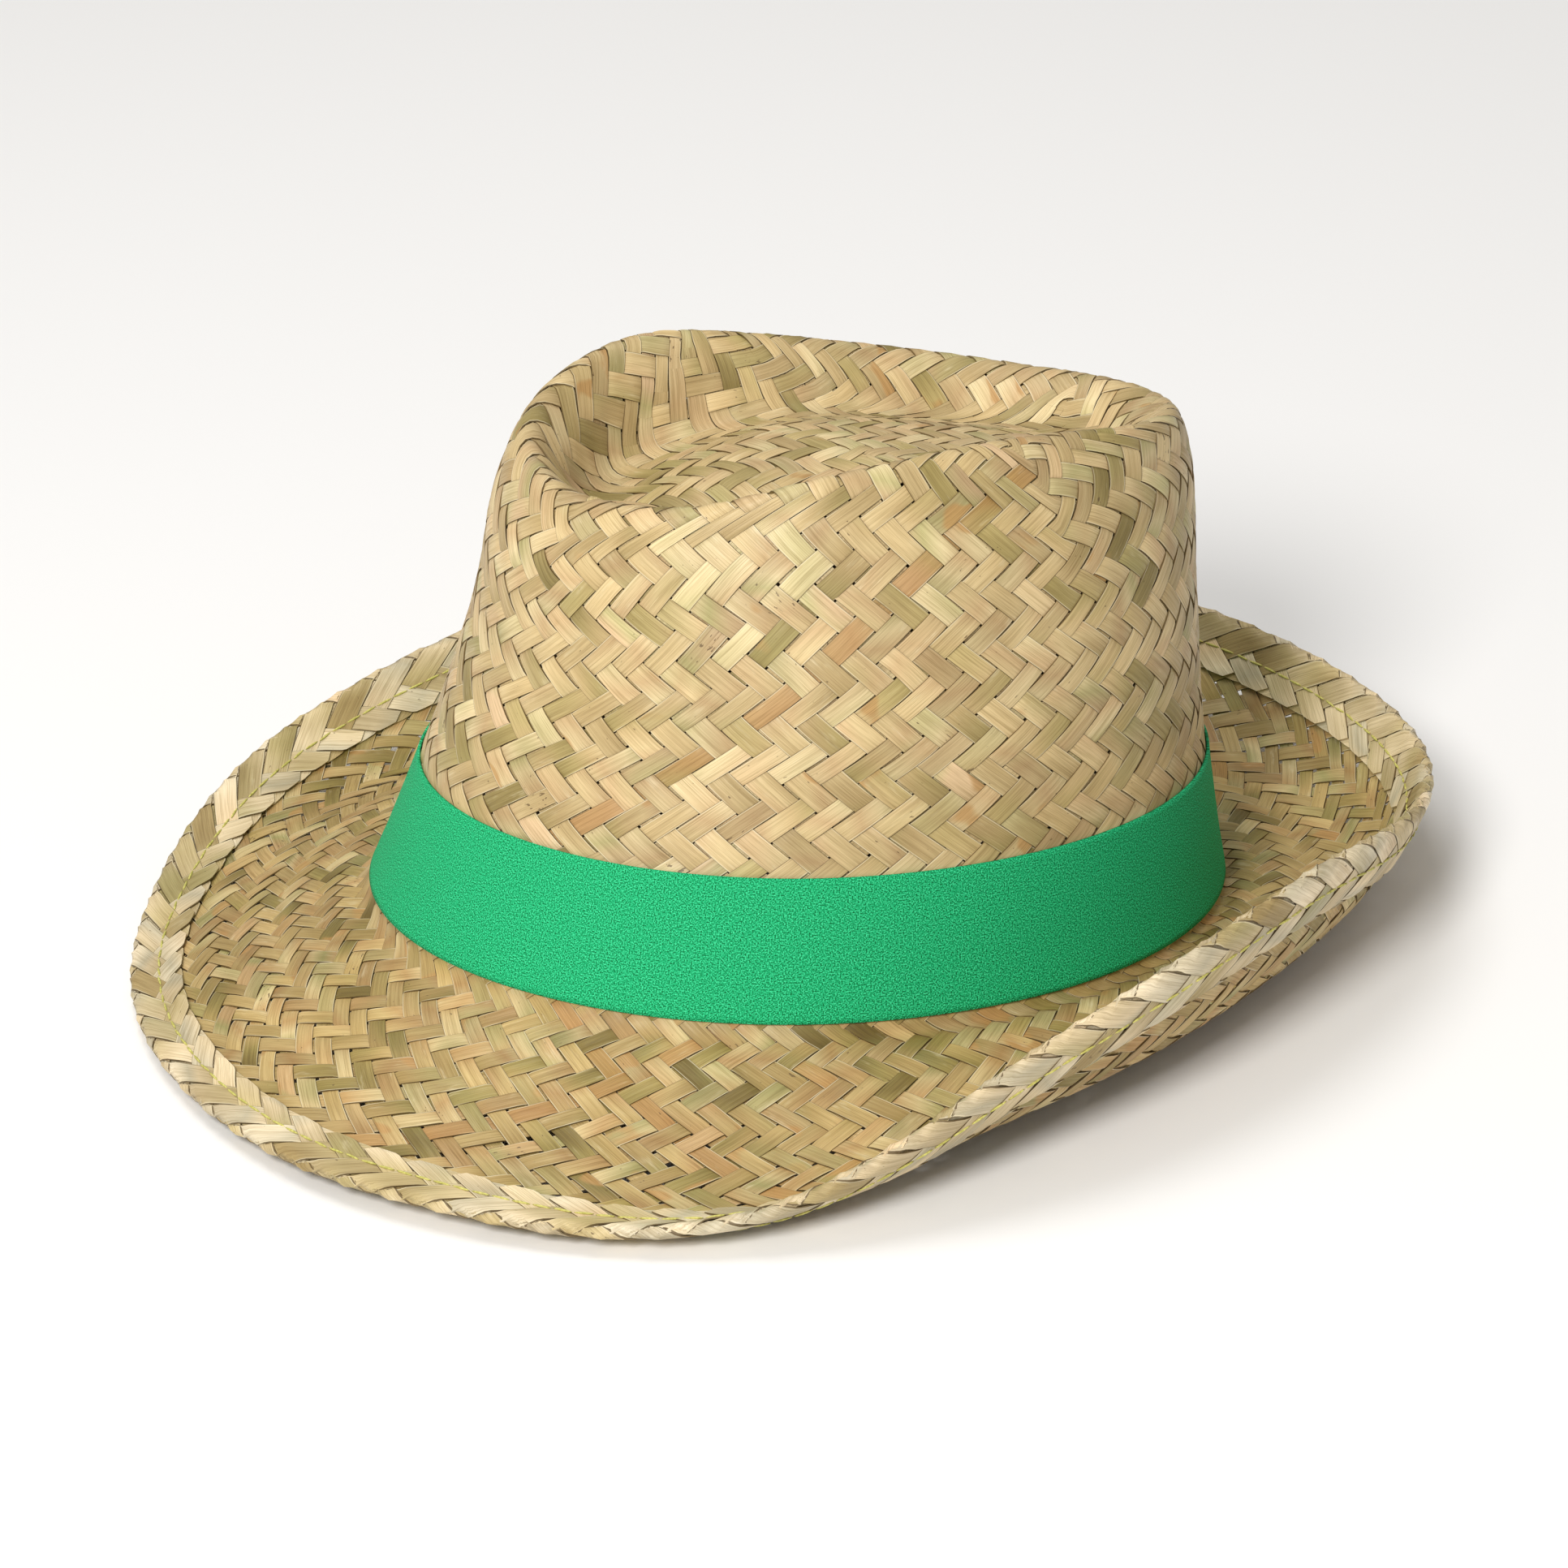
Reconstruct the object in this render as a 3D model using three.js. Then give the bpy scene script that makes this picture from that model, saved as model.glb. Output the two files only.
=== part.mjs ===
// A hat plaited from flat grass strips, in millimetres, +Z up, its front towards -Y.
// Crown and brim are one woven shell. A folded braid binds the brim's edge, and a ribbon
// rings the foot of the crown. The hat rests on the floor at Z = 0 as it would by itself.

import * as THREE from "three";

// The woven shell, measured to the middle of its wall
const strawWall = 2.0;
const headLength = 193;
const headWidth = 172;
const foldRadius = 4;
const crownHeight = 116;
const crownShift = 9.9;
const ridgeReach = 71;
const dentDepth = 20;
const dentInset = 14;
const dentDome = 5;
const brimReach = 50;
const brimLift = 30;
const brimDip = 20;

// The braid folded over the brim's edge
const braidWall = 1.6;
const braidCover = 14;

// The ribbon round the crown
const ribbonWidth = 31;
const ribbonThickness = 0.8;

// The space left between pieces that lie on each other
const clearance = 0.3;

const meridians = 64;

// One row for each twelfth of the way round, from the front towards the wearer's left.
// Lengths are shares: brimOut of brimReach, edgeUp of brimLift, dip of brimDip,
// ridgeOut of ridgeReach, ridgeUp of crownHeight, dent of dentDepth.
const sections = [
  { angle: 0, brimOut: 1.03, edgeUp: -0.82, dip: 0, ridgeOut: 1.03, ridgeUp: 0.885, dent: 0.62 },
  { angle: 30, brimOut: 1.075, edgeUp: -0.78, dip: 0.1, ridgeOut: 0.985, ridgeUp: 0.91, dent: 0.9 },
  { angle: 60, brimOut: 1.105, edgeUp: -0.54, dip: 0.43, ridgeOut: 0.83, ridgeUp: 0.985, dent: 0.98 },
  { angle: 90, brimOut: 0.905, edgeUp: 0.62, dip: 0.93, ridgeOut: 0.705, ridgeUp: 1, dent: 0.66 },
  { angle: 120, brimOut: 0.79, edgeUp: 1.14, dip: 1, ridgeOut: 0.74, ridgeUp: 0.99, dent: 0.5 },
  { angle: 150, brimOut: 0.885, edgeUp: 0.98, dip: 0.66, ridgeOut: 0.935, ridgeUp: 0.955, dent: 0.45 },
  { angle: 180, brimOut: 0.925, edgeUp: 0.91, dip: 0.61, ridgeOut: 1.01, ridgeUp: 0.91, dent: 0.43 },
  { angle: 210, brimOut: 0.91, edgeUp: 1, dip: 0.7, ridgeOut: 0.905, ridgeUp: 0.89, dent: 0.45 },
  { angle: 240, brimOut: 0.875, edgeUp: 1.06, dip: 0.9, ridgeOut: 0.74, ridgeUp: 0.92, dent: 0.5 },
  { angle: 270, brimOut: 0.995, edgeUp: 0.69, dip: 0.82, ridgeOut: 0.71, ridgeUp: 0.955, dent: 0.66 },
  { angle: 300, brimOut: 1.165, edgeUp: -0.01, dip: 0.46, ridgeOut: 0.84, ridgeUp: 0.975, dent: 0.98 },
  { angle: 330, brimOut: 1.09, edgeUp: -0.66, dip: 0.14, ridgeOut: 0.975, ridgeUp: 0.925, dent: 0.9 },
];

// The ovals of the side wall between the fold and the ridge. Shares: up of the ridge's
// height, long and wide of the head's oval, back of crownShift. skew widens the front.
const wallOvals = [
  { up: 0.35, long: 0.9, wide: 0.885, back: 0.26, skew: -0.08 },
  { up: 0.64, long: 0.832, wide: 0.837, back: 0.67, skew: -0.03 },
  { up: 0.89, long: 0.814, wide: 0.708, back: 0.88, skew: 0.045 },
];

// The dent from the ridge inwards: in is a share of dentInset, down of the dent's depth there
const dentSteps = [
  { in: 0.48, down: 0.36 },
  { in: 1.0, down: 1.0 },
];

// A column of the sections table at any angle, on a smooth closed curve through its rows
function column(name, angle) {
  const count = sections.length;
  const turn = angle / (2 * Math.PI);
  const place = (turn - Math.floor(turn)) * count;
  const row = Math.floor(place);
  const share = place - row;
  const [before, here, next, after] = [-1, 0, 1, 2].map((step) => {
    return sections[(row + step + count) % count][name];
  });
  const bend = 2 * before - 5 * here + 4 * next - after;
  const twist = 3 * here - before - 3 * next + after;
  return here + (share * (next - before + share * (bend + share * twist))) / 2;
}

// A point at an angle on an oval whose half lengths and middle are given
function ovalPoint(angle, halfLength, halfWidth, back, height, skew = 0) {
  const across = halfWidth * Math.sin(angle) * (1 + skew * Math.cos(angle));
  return new THREE.Vector3(across, back - halfLength * Math.cos(angle), height);
}

function foldPoint(angle) {
  return ovalPoint(angle, headLength / 2, headWidth / 2, 0, 0);
}

function ridgePoint(angle, inwards = 0, drop = 0) {
  const reach = ridgeReach * column("ridgeOut", angle) - inwards;
  return ovalPoint(angle, reach, reach, crownShift, crownHeight * column("ridgeUp", angle) - drop);
}

// The height of the dent's floor where it meets the dent's sides, averaged all round
const dentFloor = sections.reduce((sum, row) => {
  return sum + (crownHeight * row.ridgeUp - dentDepth * row.dent) / sections.length;
}, 0);

// The line of the wall at one angle: fold, side wall, ridge, dent and the dent's middle
const ridgeKnot = wallOvals.length + 1;
function crownLine(angle) {
  const ridgeHeight = crownHeight * column("ridgeUp", angle);
  const depth = dentDepth * column("dent", angle);
  const wall = wallOvals.map((oval) => ovalPoint(
    angle,
    (oval.long * headLength) / 2,
    (oval.wide * headWidth) / 2,
    oval.back * crownShift,
    oval.up * ridgeHeight,
    oval.skew,
  ));
  const dent = dentSteps.map((step) => ridgePoint(angle, step.in * dentInset, step.down * depth));
  const foot = dent[dent.length - 1];
  const centre = new THREE.Vector3(0, crownShift, dentFloor + dentDome);
  const floor = foot.clone().lerp(centre, 0.5);
  floor.z = foot.z + (centre.z - foot.z) * 0.75;
  const points = [foldPoint(angle), ...wall, ridgePoint(angle), ...dent, floor, centre];
  return new THREE.CatmullRomCurve3(points, false, "centripetal");
}

// The line of the brim at one angle, from the fold to the outermost edge. It leaves the
// fold, dips, and turns up or down to its edge.
const brimKnots = 16;
function brimLine(angle) {
  const fold = foldPoint(angle);
  const outward = new THREE.Vector3(
    headLength * Math.sin(angle),
    -headWidth * Math.cos(angle),
    0,
  ).normalize();
  const reach = brimReach * column("brimOut", angle);
  const rise = brimLift * column("edgeUp", angle);
  const dip = brimDip * column("dip", angle);
  const points = [];
  for (let knot = 0; knot <= brimKnots; knot += 1) {
    const out = knot / brimKnots;
    const point = fold.clone().addScaledVector(outward, reach * out);
    point.z = rise * out - dip * 6.75 * out * out * (1 - out);
    points.push(point);
  }
  return new THREE.CatmullRomCurve3(points, false, "centripetal");
}

// Distances in from the brim's outermost edge where the braid and the woven shell have rows
const shellEdge = braidWall + clearance;
const braidRows = [shellEdge, (shellEdge + braidCover) / 2, braidCover];
const brimShares = [0.2, 0.42, 0.64, 0.84];
const ribbonShares = [0, 1 / 3, 2 / 3, 1];
const wallShares = [0.14, 0.3, 0.46, 0.62, 0.76, 0.88];
const dentKnotSteps = [0, 0.35, 0.7, 1, 1.35, 1.7, 2, 2.5, 3, 3.5];

// The middle of the woven wall as rings of points, from the brim's edge to the dent's middle
function middleRings() {
  const columns = [];
  for (let step = 0; step < meridians; step += 1) {
    const angle = (step / meridians) * 2 * Math.PI;
    const brim = brimLine(angle);
    const crown = crownLine(angle);
    const brimLength = brim.getLength();
    const inFromEdge = (distance) => brim.getPointAt(1 - distance / brimLength);
    const flatSpan = brimLength - braidCover - foldRadius;
    const bandStart = crown.getPointAt(foldRadius / crown.getLength());
    const bandTop = crown.getUtoTmapping(0, foldRadius + ribbonWidth);
    const ridge = ridgeKnot / (crown.points.length - 1);
    const brimEnd = inFromEdge(brimLength - foldRadius);
    const foldMiddle = foldPoint(angle).multiplyScalar(0.5);
    foldMiddle.addScaledVector(bandStart, 0.25).addScaledVector(brimEnd, 0.25);
    columns.push([
      ...braidRows.map(inFromEdge),
      ...brimShares.map((share) => inFromEdge(braidCover + share * flatSpan)),
      brimEnd,
      foldMiddle,
      ...ribbonShares.map((share) => {
        return crown.getPointAt((foldRadius + share * ribbonWidth) / crown.getLength());
      }),
      ...wallShares.map((share) => crown.getPoint(bandTop + share * (ridge - bandTop))),
      ...dentKnotSteps.map((knot) => {
        return crown.getPoint((ridgeKnot + knot) / (crown.points.length - 1));
      }),
    ]);
  }
  return columns[0].map((_, row) => columns.map((points) => points[row]));
}

const middle = middleRings();
const ribbonFirstRow = braidRows.length + brimShares.length + 2;
const dentMiddle = new THREE.Vector3(0, crownShift, dentFloor + dentDome);

// The outward normal of the woven wall at every point of the rings
const normals = middle.map((ring, row) => ring.map((_, step) => {
  const next = ring[(step + 1) % meridians];
  const last = ring[(step + meridians - 1) % meridians];
  const inner = (middle[row + 1] ?? ring.map(() => dentMiddle))[step];
  const outer = (middle[row - 1] ?? ring)[step];
  const round = next.clone().sub(last);
  return round.cross(inner.clone().sub(outer)).normalize();
}));

// A ring moved off the middle of the wall, and past the shell's edge where out is given
function offsetRing(row, height, out = 0) {
  const points = middle[row].map((point, step) => {
    const moved = point.clone().addScaledVector(normals[row][step], height);
    if (out > 0) {
      moved.addScaledVector(point.clone().sub(middle[row + 1][step]).normalize(), out);
    }
    return moved;
  });
  return { row, points };
}

// A closed surface through rings of points. Without poles the last ring joins the first.
// Each face is split the same way whichever way its rows run, so that faces lying on each
// other stay parallel.
function ringGeometry(rings, firstPole, lastPole) {
  const points = rings.flatMap((ring) => ring.points);
  const triangles = [];
  const index = (row, step) => row * meridians + (step % meridians);
  const closed = firstPole === undefined;
  const bands = closed ? rings.length : rings.length - 1;
  for (let row = 0; row < bands; row += 1) {
    const next = (row + 1) % rings.length;
    const inwards = rings[next].row > rings[row].row;
    for (let step = 0; step < meridians; step += 1) {
      const [a, b] = [index(row, step), index(row, step + 1)];
      const [c, d] = [index(next, step + 1), index(next, step)];
      if (inwards) {
        triangles.push(a, b, c, a, c, d);
      } else {
        triangles.push(a, b, d, b, c, d);
      }
    }
  }
  if (!closed) {
    points.push(firstPole, lastPole);
    for (let step = 0; step < meridians; step += 1) {
      triangles.push(points.length - 2, index(0, step + 1), index(0, step));
      const last = rings.length - 1;
      triangles.push(points.length - 1, index(last, step), index(last, step + 1));
    }
  }
  const geometry = new THREE.BufferGeometry().setFromPoints(points);
  geometry.setIndex(triangles);
  geometry.computeVertexNormals();
  return geometry;
}

// The woven shell: its inner face from the dent outwards, round the edge, and back on top
function wovenBodyGeometry() {
  const half = strawWall / 2;
  const face = (side) => middle.map((_, row) => offsetRing(row, side * half));
  const under = face(-1).reverse();
  const pole = (side) => dentMiddle.clone().setZ(dentMiddle.z + side * half);
  return ringGeometry([...under, ...face(1)], pole(-1), pole(1));
}

// The braid over the edge: a U whose inside keeps the clearance to the shell
function brimBindingGeometry() {
  const inside = strawWall / 2 + clearance;
  const outside = inside + braidWall;
  const last = braidRows.length - 1;
  const rows = braidRows.map((_, row) => row);
  const shoulder = braidWall * 0.55;
  const rings = [
    ...rows.map((row) => offsetRing(row, -outside)).reverse(),
    offsetRing(0, -inside - shoulder, clearance + shoulder),
    offsetRing(0, 0, clearance + braidWall),
    offsetRing(0, inside + shoulder, clearance + shoulder),
    ...rows.map((row) => offsetRing(row, outside)),
    ...rows.slice(1).map((row) => offsetRing(row, inside)).reverse(),
    offsetRing(0, inside, clearance),
    offsetRing(0, -inside, clearance),
    ...rows.slice(1, last + 1).map((row) => offsetRing(row, -inside)),
  ];
  return ringGeometry(rings);
}

// The ribbon: a flat strip standing off the crown's outer face by the clearance
function ribbonBandGeometry() {
  const inside = strawWall / 2 + clearance;
  const outside = inside + ribbonThickness;
  const rows = ribbonShares.map((_, place) => ribbonFirstRow + place);
  const rings = [
    ...rows.map((row) => offsetRing(row, outside)),
    ...rows.map((row) => offsetRing(row, inside)).reverse(),
  ];
  return ringGeometry(rings);
}

// The middle of a closed surface's volume, with that volume
function balance(geometry) {
  const place = geometry.getAttribute("position");
  const order = geometry.getIndex();
  const sum = new THREE.Vector3();
  let volume = 0;
  for (let at = 0; at < order.count; at += 3) {
    const [a, b, c] = [0, 1, 2].map((corner) => {
      return new THREE.Vector3().fromBufferAttribute(place, order.getX(at + corner));
    });
    const piece = a.dot(b.clone().cross(c)) / 6;
    volume += piece;
    sum.addScaledVector(a.add(b).add(c), piece / 4);
  }
  return { volume, middle: sum.divideScalar(volume) };
}

// How the hat lies on the floor: the tilt that brings its weight lowest, found by small
// steps in every direction
function restingTilt(points, weight) {
  const height = (pitch, roll) => {
    const up = new THREE.Vector3(0, 0, 1).applyEuler(new THREE.Euler(pitch, roll, 0)).normalize();
    let lowest = Infinity;
    for (const point of points) {
      lowest = Math.min(lowest, point.dot(up));
    }
    return weight.dot(up) - lowest;
  };
  const directions = 24;
  let best = { pitch: 0, roll: 0 };
  let least = height(0, 0);
  for (let stride = 0.08; stride > 0.00002; stride /= 1.6) {
    for (let turn = 0; turn < directions; turn += 1) {
      const angle = (turn / directions) * 2 * Math.PI;
      const pitch = best.pitch + stride * Math.cos(angle);
      const roll = best.roll + stride * Math.sin(angle);
      const tried = height(pitch, roll);
      if (tried < least) {
        least = tried;
        best = { pitch, roll };
        turn = -1;
      }
    }
  }
  return new THREE.Vector3(0, 0, 1).applyEuler(new THREE.Euler(best.pitch, best.roll, 0));
}

const strawMaterial = new THREE.MeshStandardMaterial({
  color: new THREE.Color(0xbda776),
  roughness: 0.62,
  metalness: 0,
});
const braidMaterial = new THREE.MeshStandardMaterial({
  color: new THREE.Color(0xc6b88e),
  roughness: 0.55,
  metalness: 0,
});
const ribbonMaterial = new THREE.MeshStandardMaterial({
  color: new THREE.Color(0x2daa6b),
  roughness: 0.7,
  metalness: 0,
});

function namedMesh(name, geometry, material) {
  const mesh = new THREE.Mesh(geometry, material);
  mesh.name = name;
  return mesh;
}

// The three pieces, in the hat's own frame
const hat = new THREE.Group();
hat.add(
  namedMesh("woven_body", wovenBodyGeometry(), strawMaterial),
  namedMesh("brim_binding", brimBindingGeometry(), braidMaterial),
  namedMesh("ribbon_band", ribbonBandGeometry(), ribbonMaterial),
);

// The hat laid on the floor, the middle of its box above the origin
const weight = new THREE.Vector3();
let volume = 0;
const outline = [];
for (const mesh of hat.children) {
  const part = balance(mesh.geometry);
  weight.addScaledVector(part.middle, part.volume);
  volume += part.volume;
  const place = mesh.geometry.getAttribute("position");
  for (let at = 0; at < place.count; at += 1) {
    outline.push(new THREE.Vector3().fromBufferAttribute(place, at));
  }
}
weight.divideScalar(volume);
const floorUp = restingTilt(outline, weight);
hat.quaternion.setFromUnitVectors(floorUp, new THREE.Vector3(0, 0, 1));
hat.updateMatrixWorld(true);
const box = new THREE.Box3();
for (const point of outline) {
  box.expandByPoint(point.applyMatrix4(hat.matrixWorld));
}
hat.position.set(-(box.min.x + box.max.x) / 2, -(box.min.y + box.max.y) / 2, -box.min.z);

const part = new THREE.Group();
part.add(hat);

export default part;
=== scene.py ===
import math

import bpy
import numpy as np
from mathutils import Matrix, Vector


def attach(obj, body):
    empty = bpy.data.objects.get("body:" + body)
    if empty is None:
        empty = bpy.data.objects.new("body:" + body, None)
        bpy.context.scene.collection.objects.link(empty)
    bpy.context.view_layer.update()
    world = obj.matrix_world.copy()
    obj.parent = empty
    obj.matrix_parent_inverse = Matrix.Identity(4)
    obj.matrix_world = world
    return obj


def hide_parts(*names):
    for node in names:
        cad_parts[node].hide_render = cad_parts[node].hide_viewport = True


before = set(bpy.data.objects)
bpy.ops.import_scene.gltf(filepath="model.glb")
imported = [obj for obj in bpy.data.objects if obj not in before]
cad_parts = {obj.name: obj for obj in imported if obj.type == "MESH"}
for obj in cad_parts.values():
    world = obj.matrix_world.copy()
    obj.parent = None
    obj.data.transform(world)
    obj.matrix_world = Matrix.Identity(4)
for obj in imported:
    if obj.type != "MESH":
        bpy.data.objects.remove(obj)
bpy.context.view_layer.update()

# The camera. It looks down at the wearer's left side of the hat, a little from the front,
# and leans a few degrees, as the photograph was taken.
camera_aim = Vector((-0.006, 0.0034, 0.0311))
camera_azimuth = math.radians(66.2)
camera_elevation = math.radians(26.5)
camera_roll = math.radians(-3.55)
camera_distance = 1.5
away = Vector((
    math.sin(camera_azimuth) * math.cos(camera_elevation),
    -math.cos(camera_azimuth) * math.cos(camera_elevation),
    math.sin(camera_elevation),
))
level = Vector((math.cos(camera_azimuth), math.sin(camera_azimuth), 0.0))
rightward = level * math.cos(camera_roll) + away.cross(level) * math.sin(camera_roll)
camera_data = bpy.data.cameras.new("camera")
camera_data.sensor_width = 36.0
camera_data.lens = 154.7
camera = bpy.data.objects.new("camera", camera_data)
turned = Matrix((rightward, away.cross(rightward), away)).transposed()
camera.matrix_world = Matrix.Translation(camera_aim + away * camera_distance) @ turned.to_4x4()
bpy.context.scene.collection.objects.link(camera)
bpy.context.scene.camera = camera

# The light and the floor. A broad soft lamp stands before the hat's left side, a second one
# hangs over it, a faint one fills the back, and a pale sweep of paper lies under the hat.
sky = bpy.data.worlds.new("sky")
sky.use_nodes = True
sky.node_tree.nodes["Background"].inputs["Color"].default_value = (1.0, 0.98, 0.95, 1.0)
sky.node_tree.nodes["Background"].inputs["Strength"].default_value = 0.39
bpy.context.scene.world = sky
bpy.context.scene.view_settings.view_transform = "Standard"


def lamp(name, place, size, power, colour):
    data = bpy.data.lights.new(name, "AREA")
    data.shape = "DISK"
    data.size = size
    data.energy = power
    data.color = colour
    light = bpy.data.objects.new(name, data)
    light.location = place
    aim = Vector((0.0, 0.0, 0.05)) - Vector(place)
    light.rotation_euler = aim.to_track_quat("-Z", "Y").to_euler()
    bpy.context.scene.collection.objects.link(light)


lamp("key_lamp", (1.02, -0.98, 1.15), 0.6, 25.0, (1.0, 0.98, 0.955))
lamp("fill_lamp", (1.3, 0.75, 0.9), 1.2, 0.2, (1.0, 0.96, 0.9))
lamp("top_lamp", (-0.45, -0.1, 1.5), 0.9, 8.5, (1.0, 0.99, 0.97))

floor_half = 6.0
floor_mesh = bpy.data.meshes.new("floor")
floor_mesh.from_pydata(
    [(x * floor_half, y * floor_half, 0.0) for x, y in ((-1, -1), (1, -1), (1, 1), (-1, 1))],
    [],
    [(0, 1, 2, 3)],
)
floor = bpy.data.objects.new("floor", floor_mesh)
bpy.context.scene.collection.objects.link(floor)
paper = bpy.data.materials.new("paper")
paper.use_nodes = True
paper.node_tree.nodes["Principled BSDF"].inputs["Base Color"].default_value = (0.9, 0.9, 0.9, 1)
paper.node_tree.nodes["Principled BSDF"].inputs["Roughness"].default_value = 0.9
floor_mesh.materials.append(paper)

# The hat's form. Crown and brim are blocked over a wooden form after plaiting: an oval
# wall, a long dent pressed into the top, a brim bent down in front and up elsewhere.
# Every strip, the braid, the thread and the ribbon are laid on this one surface.
mm = 0.001
head_length = 193 * mm
head_width = 172 * mm
crown_height = 116 * mm
crown_shift = 9.9 * mm
ridge_reach = 71 * mm
dent_depth = 20 * mm
dent_inset = 14 * mm
dent_dome = 5 * mm
brim_reach = 50 * mm
brim_lift = 30 * mm
brim_dip = 20 * mm
fold_radius = 4 * mm
section_columns = ("angle", "brim_out", "edge_up", "dip", "ridge_out", "ridge_up", "dent")
section_rows = np.array((
    (0, 1.03, -0.82, 0.0, 1.03, 0.885, 0.62),
    (30, 1.075, -0.78, 0.1, 0.985, 0.91, 0.9),
    (60, 1.105, -0.54, 0.43, 0.83, 0.985, 0.98),
    (90, 0.905, 0.62, 0.93, 0.705, 1.0, 0.66),
    (120, 0.79, 1.14, 1.0, 0.74, 0.99, 0.5),
    (150, 0.885, 0.98, 0.66, 0.935, 0.955, 0.45),
    (180, 0.925, 0.91, 0.61, 1.01, 0.91, 0.43),
    (210, 0.91, 1.0, 0.7, 0.905, 0.89, 0.45),
    (240, 0.875, 1.06, 0.9, 0.74, 0.92, 0.5),
    (270, 0.995, 0.69, 0.82, 0.71, 0.955, 0.66),
    (300, 1.165, -0.01, 0.46, 0.84, 0.975, 0.98),
    (330, 1.09, -0.66, 0.14, 0.975, 0.925, 0.9),
))
# Ovals of the side wall: height, length, width, shift back, skew
wall_ovals = (
    (0.35, 0.9, 0.885, 0.26, -0.08),
    (0.64, 0.832, 0.837, 0.67, -0.03),
    (0.89, 0.814, 0.708, 0.88, 0.045),
)
# The hat lies on the floor tilted a little back and to its right
floor_up = Vector((0.03797, -0.11168, 0.99302))
hat_place = Vector((2.4, 1.72, 11.36)) * mm


def column(name, angle):
    values = section_rows[:, section_columns.index(name)]
    count = len(values)
    place = (angle / (2 * np.pi)) % 1.0 * count
    row = np.floor(place).astype(int)
    share = place - row
    before, here, after, beyond = (values[(row + step) % count] for step in (-1, 0, 1, 2))
    bend = 2 * before - 5 * here + 4 * after - beyond
    twist = 3 * here - before - 3 * after + beyond
    return here + share * (after - before + share * (bend + share * twist)) / 2


def oval_points(angle, half_length, half_width, back, height, skew=0.0):
    across = half_width * np.sin(angle) * (1 + skew * np.cos(angle))
    return np.stack((across, back - half_length * np.cos(angle), height + 0 * angle), -1)


def smooth_line(knots, samples):
    """Curves through knots (angle, knot, xyz), with as many samples between any two knots."""
    first = 2 * knots[:, :1] - knots[:, 1:2]
    last = 2 * knots[:, -1:] - knots[:, -2:-1]
    knots = np.concatenate((first, knots, last), 1)
    spans = np.linalg.norm(np.diff(knots, axis=1), axis=2, keepdims=True) ** 0.5
    pieces = []
    share = np.linspace(0, 1, samples + 1)[None, :-1, None]
    for at in range(1, knots.shape[1] - 2):
        p0, p1, p2, p3 = (knots[:, at + step, None] for step in (-1, 0, 1, 2))
        d0, d1, d2 = (spans[:, at + step, None] for step in (-1, 0, 1))
        leave = ((p1 - p0) / d0 - (p2 - p0) / (d0 + d1) + (p2 - p1) / d1) * d1
        reach = ((p2 - p1) / d1 - (p3 - p1) / (d1 + d2) + (p3 - p2) / d2) * d1
        pieces.append(
            p1 + share * leave
            + share**2 * (3 * (p2 - p1) - 2 * leave - reach)
            + share**3 * (2 * (p1 - p2) + leave + reach)
        )
    return np.concatenate((*pieces, knots[:, -2:-1]), 1)


def evenly(line, count):
    """The same curves with count + 1 points at equal distances, and their lengths."""
    steps = np.linalg.norm(np.diff(line, axis=1), axis=2)
    run = np.concatenate((np.zeros((len(line), 1)), np.cumsum(steps, 1)), 1)
    even = np.empty((len(line), count + 1, 3))
    for at, (distances, points) in enumerate(zip(run, line)):
        wanted = np.linspace(0, distances[-1], count + 1)
        for axis in range(3):
            even[at, :, axis] = np.interp(wanted, distances, points[:, axis])
    return even, run[:, -1]


skin_turns = 720
skin_rows = 160
turn_angles = np.arange(skin_turns) / skin_turns * 2 * np.pi
ridge_height = crown_height * column("ridge_up", turn_angles)
ridge_out = ridge_reach * column("ridge_out", turn_angles)
dent_down = dent_depth * column("dent", turn_angles)
floor_height = (crown_height * section_rows[:, 5] - dent_depth * section_rows[:, 6]).mean()
dent_middle = np.array((0.0, crown_shift, floor_height + dent_dome))
fold_line = oval_points(turn_angles, head_length / 2, head_width / 2, 0.0, 0.0)
crown_knots = [fold_line]
for up, long, wide, back, skew in wall_ovals:
    crown_knots.append(oval_points(
        turn_angles, long * head_length / 2, wide * head_width / 2, back * crown_shift,
        up * ridge_height, skew,
    ))
# From the ridge down the dent's side: share of the inset, share of the depth
dent_slope = ((0.0, 0.0), (0.48, 0.36), (1.0, 1.0))
for inward, down in dent_slope:
    reach = ridge_out - inward * dent_inset
    crown_knots.append(oval_points(
        turn_angles, reach, reach, crown_shift, ridge_height - down * dent_down,
    ))
dent_foot = crown_knots[-1]
halfway_rise = 0.75
dent_floor = (dent_foot + dent_middle) / 2
dent_floor[:, 2] = dent_foot[:, 2] + (dent_middle[2] - dent_foot[:, 2]) * halfway_rise
crown_knots += [dent_floor, dent_middle + 0 * dent_foot]
knot_samples = 40
crown_curve = smooth_line(np.stack(crown_knots, 1), knot_samples)
corner_knot = 3.8
corner_sample = round(corner_knot * knot_samples)

outward = np.stack((
    head_length * np.sin(turn_angles), -head_width * np.cos(turn_angles), 0 * turn_angles,
), -1)
outward /= np.linalg.norm(outward, axis=1, keepdims=True)
brim_samples = 120
out_share = np.linspace(0, 1, brim_samples)[None, :, None]
brim_curve = fold_line[:, None] + outward[:, None] * out_share * (
    brim_reach * column("brim_out", turn_angles)
)[:, None, None]
# The dip is deepest two thirds of the way out, where this curve is 1
dip_curve = 27 / 4 * out_share[:, :, 0] ** 2 * (1 - out_share[:, :, 0])
brim_curve[:, :, 2] = (
    brim_lift * column("edge_up", turn_angles)[:, None] * out_share[:, :, 0]
    - brim_dip * column("dip", turn_angles)[:, None] * dip_curve
)

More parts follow.
